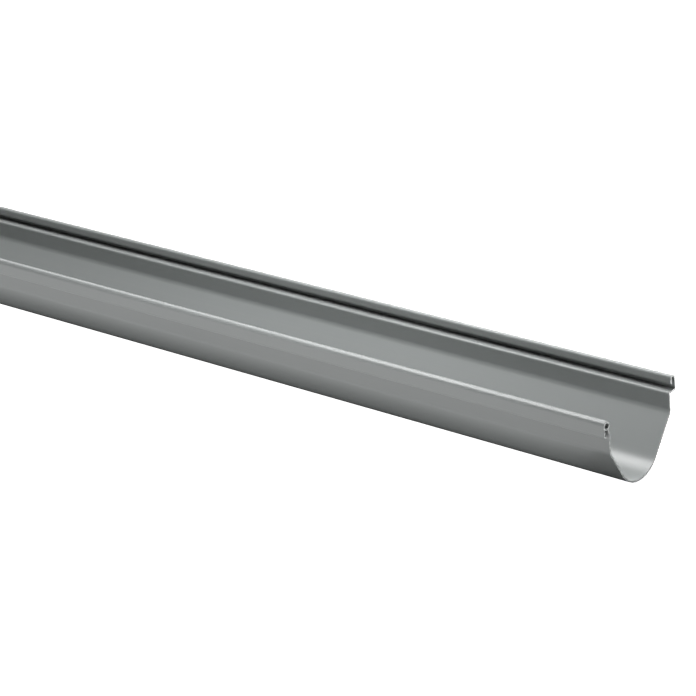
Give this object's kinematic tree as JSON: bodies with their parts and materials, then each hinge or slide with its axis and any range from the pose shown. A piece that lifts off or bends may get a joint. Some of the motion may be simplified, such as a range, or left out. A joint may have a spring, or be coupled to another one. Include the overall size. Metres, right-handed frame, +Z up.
{
  "type": "gutter section",
  "caption": "One straight length of deep round-bottomed plastic rain gutter, with a hollow bead and drip lip on the front edge and a clip channel on the rear edge.",
  "frame": {"origin": "middle of the length, below the middle of the section's width, on the floor that the rear slope lies on", "axes": "+X along the length of the extrusion, +Y towards the rear (house side) edge, +Z up from the floor"},
  "size_m": [2, 0.1172, 0.1113],
  "materials": {
    "pvc_grey": "satin"
  },
  "bodies": {
    "root": {"gutter_section": "pvc_grey"}
  },
  "joints": []
}
